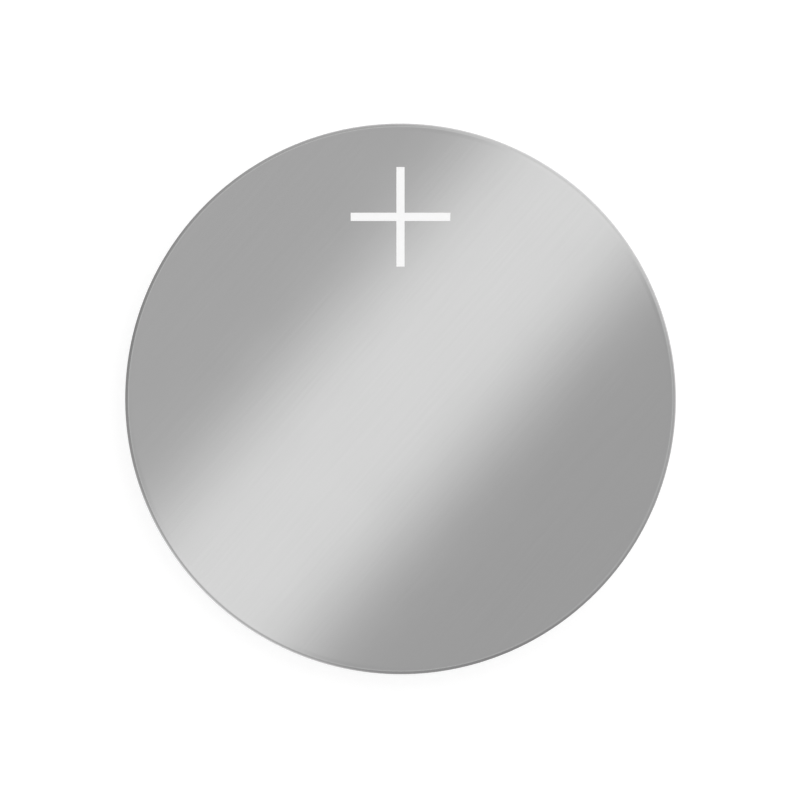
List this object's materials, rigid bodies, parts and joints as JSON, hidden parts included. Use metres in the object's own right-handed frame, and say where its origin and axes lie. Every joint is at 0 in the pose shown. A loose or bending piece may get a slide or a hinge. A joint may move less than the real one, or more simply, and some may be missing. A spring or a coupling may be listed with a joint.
{
  "type": "lithium coin cell",
  "caption": "Flat round lithium coin cell: a steel can crimped over a stepped steel cap with an insulating gasket, and the electrodes and separator inside.",
  "frame": {"origin": "centre of the negative cap's flat face, which the cell lies on", "axes": "+Z is the cell's axis, from the negative cap to the positive face; X and Y are alike, and the plus mark lies towards +Y"},
  "size_m": [0.02, 0.02, 0.005],
  "materials": {
    "can_steel": "smooth rolled and nickel-plated, satin",
    "cap_steel": "finely stippled, satin",
    "gasket_plastic": "moulded natural polypropylene",
    "lithium_metal": "soft rolled foil, dull",
    "separator_felt": "non-woven fibre",
    "cathode_mix": "pressed powder, matte black",
    "ring_steel": "stamped sheet, satin"
  },
  "bodies": {
    "root": {"positive_can": "can_steel", "negative_cap": "cap_steel", "gasket": "gasket_plastic", "lithium_anode": "lithium_metal", "separator": "separator_felt", "cathode_pellet": "cathode_mix", "cathode_ring": "ring_steel"}
  },
  "joints": []
}
